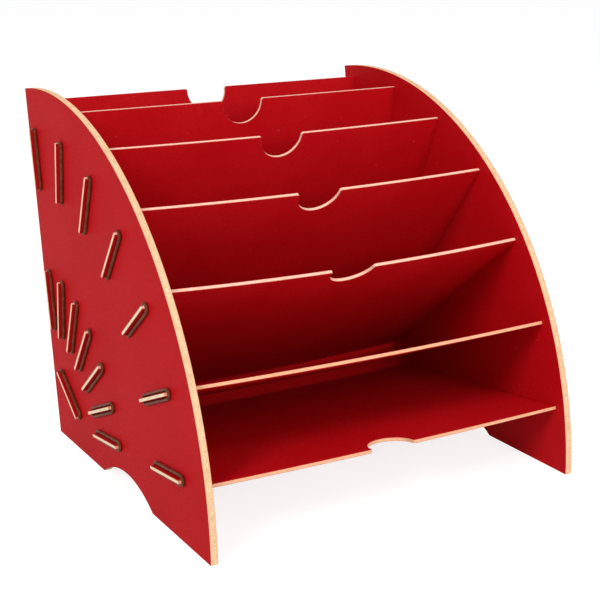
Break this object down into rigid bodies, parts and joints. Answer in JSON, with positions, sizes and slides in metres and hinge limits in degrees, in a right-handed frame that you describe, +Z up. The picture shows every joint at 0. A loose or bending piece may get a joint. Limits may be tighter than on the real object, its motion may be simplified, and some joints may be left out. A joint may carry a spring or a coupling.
{
  "type": "magazine holder",
  "caption": "Fan-shaped desk sorter for magazines and papers: curved side panels, radial boards with finger notches, and tenons locked by rubber rings.",
  "frame": {"origin": "on the desk, under the middle of the sorter's box", "axes": "+X runs across the open front to the right panel, +Y to the back, +Z up; the open front faces -Y"},
  "size_m": [0.3478, 0.3574, 0.3137],
  "materials": {
    "red_board": "smooth red coating on thin fibreboard, raw pale edges",
    "brown_rubber": "satin"
  },
  "bodies": {
    "root": {"side_panel_left": "red_board", "side_panel_right": "red_board", "rear_board": "red_board", "divider_board_1": "red_board", "divider_board_2": "red_board", "divider_board_3": "red_board", "divider_board_4": "red_board", "divider_board_5": "red_board", "bottom_board": "red_board", "hub_board": "red_board", "rubber_ring_left_outer_1": "brown_rubber", "rubber_ring_left_inner_1": "brown_rubber", "rubber_ring_left_outer_2": "brown_rubber", "rubber_ring_left_inner_2": "brown_rubber", "rubber_ring_left_outer_3": "brown_rubber", "rubber_ring_left_inner_3": "brown_rubber", "rubber_ring_left_outer_4": "brown_rubber", "rubber_ring_left_inner_4": "brown_rubber", "rubber_ring_left_outer_5": "brown_rubber", "rubber_ring_left_inner_5": "brown_rubber", "rubber_ring_left_outer_6": "brown_rubber", "rubber_ring_left_inner_6": "brown_rubber", "rubber_ring_left_outer_7": "brown_rubber", "rubber_ring_left_inner_7": "brown_rubber", "rubber_ring_left_hub": "brown_rubber", "rubber_ring_right_outer_1": "brown_rubber", "rubber_ring_right_inner_1": "brown_rubber", "rubber_ring_right_outer_2": "brown_rubber", "rubber_ring_right_inner_2": "brown_rubber", "rubber_ring_right_outer_3": "brown_rubber", "rubber_ring_right_inner_3": "brown_rubber", "rubber_ring_right_outer_4": "brown_rubber", "rubber_ring_right_inner_4": "brown_rubber", "rubber_ring_right_outer_5": "brown_rubber", "rubber_ring_right_inner_5": "brown_rubber", "rubber_ring_right_outer_6": "brown_rubber", "rubber_ring_right_inner_6": "brown_rubber", "rubber_ring_right_outer_7": "brown_rubber", "rubber_ring_right_inner_7": "brown_rubber", "rubber_ring_right_hub": "brown_rubber"}
  },
  "joints": []
}
